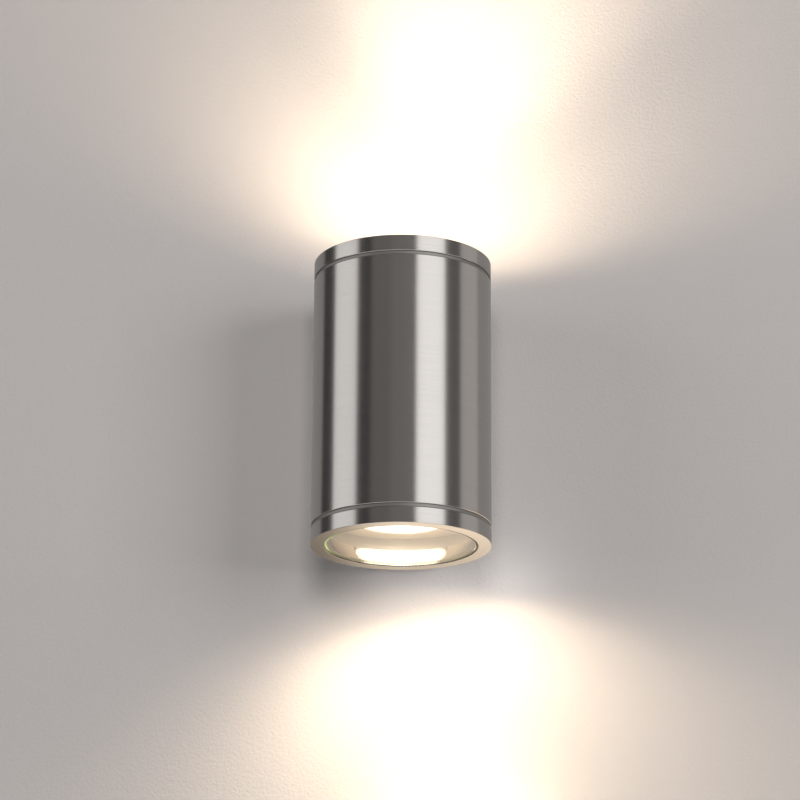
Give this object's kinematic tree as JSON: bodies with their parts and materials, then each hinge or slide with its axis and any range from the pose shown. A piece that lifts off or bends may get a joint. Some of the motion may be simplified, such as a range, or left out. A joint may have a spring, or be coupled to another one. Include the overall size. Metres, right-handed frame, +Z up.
{
  "type": "tube wall light",
  "caption": "Round brushed metal up-and-down wall light with screw-on glazed end rings, twist-lock reflector lamps and a wall saddle.",
  "frame": {"origin": "middle of the wall plate's back face, between the two wall screw holes", "axes": "+Y into the wall, +Z up along the tube, +X to the right as seen facing the wall"},
  "size_m": [0.1, 0.112, 0.165],
  "materials": {
    "brushed_tube": "brushed round the tube",
    "brushed_ring": "turned, brushed round the ring, polished inner land",
    "black_rubber": "matt",
    "clear_glass": "clear float glass with a faint green edge",
    "bonding_seal": "satin, slightly translucent",
    "spun_baffle": "satin, spun",
    "lamp_housing": "satin white",
    "lamp_cap": "satin white",
    "nickel_pins": "nickel plated",
    "lamp_lens": "frosted lens, lit",
    "ceramic": "glazed steatite",
    "contact_brass": "bright",
    "zinc_screws": "zinc plated",
    "galvanised_sheet": "galvanised",
    "block_plastic": "natural nylon",
    "live_lead": "brown silicone",
    "neutral_lead": "blue silicone",
    "earth_lead": "green and yellow silicone",
    "cast_saddle": "satin casting",
    "stainless_screws": "bright stainless"
  },
  "bodies": {
    "housing": {"block_screws": "zinc_screws", "body_tube": "brushed_tube", "cable_grommet": "black_rubber", "carrier_nuts": "zinc_screws", "earth_lead": "earth_lead", "earth_screw": "zinc_screws", "earth_tag": "contact_brass", "fixing_screws": "stainless_screws", "holder_nuts": "zinc_screws", "holder_screws": "zinc_screws", "lamp_carrier": "galvanised_sheet", "lower_baffle": "spun_baffle", "lower_holder_contacts": "contact_brass", "lower_lampholder": "ceramic", "lower_live_lead": "live_lead", "lower_neutral_lead": "neutral_lead", "saddle_screws": "stainless_screws", "terminal_block": "block_plastic", "terminal_clamps": "contact_brass", "terminal_screws": "zinc_screws", "upper_baffle": "spun_baffle", "upper_holder_contacts": "contact_brass", "upper_lampholder": "ceramic", "upper_live_lead": "live_lead", "upper_neutral_lead": "neutral_lead", "wall_gasket": "black_rubber", "wall_plate": "galvanised_sheet", "wall_saddle": "cast_saddle"},
    "upper_seal": {"upper_ring_seal": "black_rubber"},
    "upper_end_ring": {"upper_ring": "brushed_ring", "upper_glass": "clear_glass", "upper_glass_seal": "bonding_seal"},
    "upper_lamp": {"upper_lamp_body": "lamp_housing", "upper_lamp_cap": "lamp_cap", "upper_lamp_pins": "nickel_pins", "upper_lamp_lens": "lamp_lens"},
    "lower_seal": {"lower_ring_seal": "black_rubber"},
    "lower_end_ring": {"lower_ring": "brushed_ring", "lower_glass": "clear_glass", "lower_glass_seal": "bonding_seal"},
    "lower_lamp": {"lower_lamp_body": "lamp_housing", "lower_lamp_cap": "lamp_cap", "lower_lamp_pins": "nickel_pins", "lower_lamp_lens": "lamp_lens"}
  },
  "joints": [
    {"name": "upper_ring_travel", "type": "slide", "parent": "housing", "child": "upper_seal", "axis": [0, 0, 1], "range_m": [0, 0.0085]},
    {"name": "upper_ring_turn", "type": "hinge", "parent": "upper_seal", "child": "upper_end_ring", "pos_m": [0, -0.062, 0.078], "axis": [0, 0, 1], "range_deg": [0, 2040]},
    {"name": "upper_lamp_twist", "type": "hinge", "parent": "housing", "child": "upper_lamp", "pos_m": [0, -0.062, 0.0161], "axis": [0, 0, 1], "range_deg": [0, 30]},
    {"name": "lower_ring_travel", "type": "slide", "parent": "housing", "child": "lower_seal", "axis": [0, 0, -1], "range_m": [0, 0.0085]},
    {"name": "lower_ring_turn", "type": "hinge", "parent": "lower_seal", "child": "lower_end_ring", "pos_m": [0, -0.062, -0.078], "axis": [0, 0, -1], "range_deg": [0, 2040]},
    {"name": "lower_lamp_twist", "type": "hinge", "parent": "housing", "child": "lower_lamp", "pos_m": [0, -0.062, -0.0161], "axis": [0, 0, -1], "range_deg": [0, 30]}
  ],
  "couplings": [
    {"joint": "upper_ring_travel", "follows": "upper_ring_turn", "m_per_rad": 0.00023873},
    {"joint": "lower_ring_travel", "follows": "lower_ring_turn", "m_per_rad": 0.00023873}
  ]
}
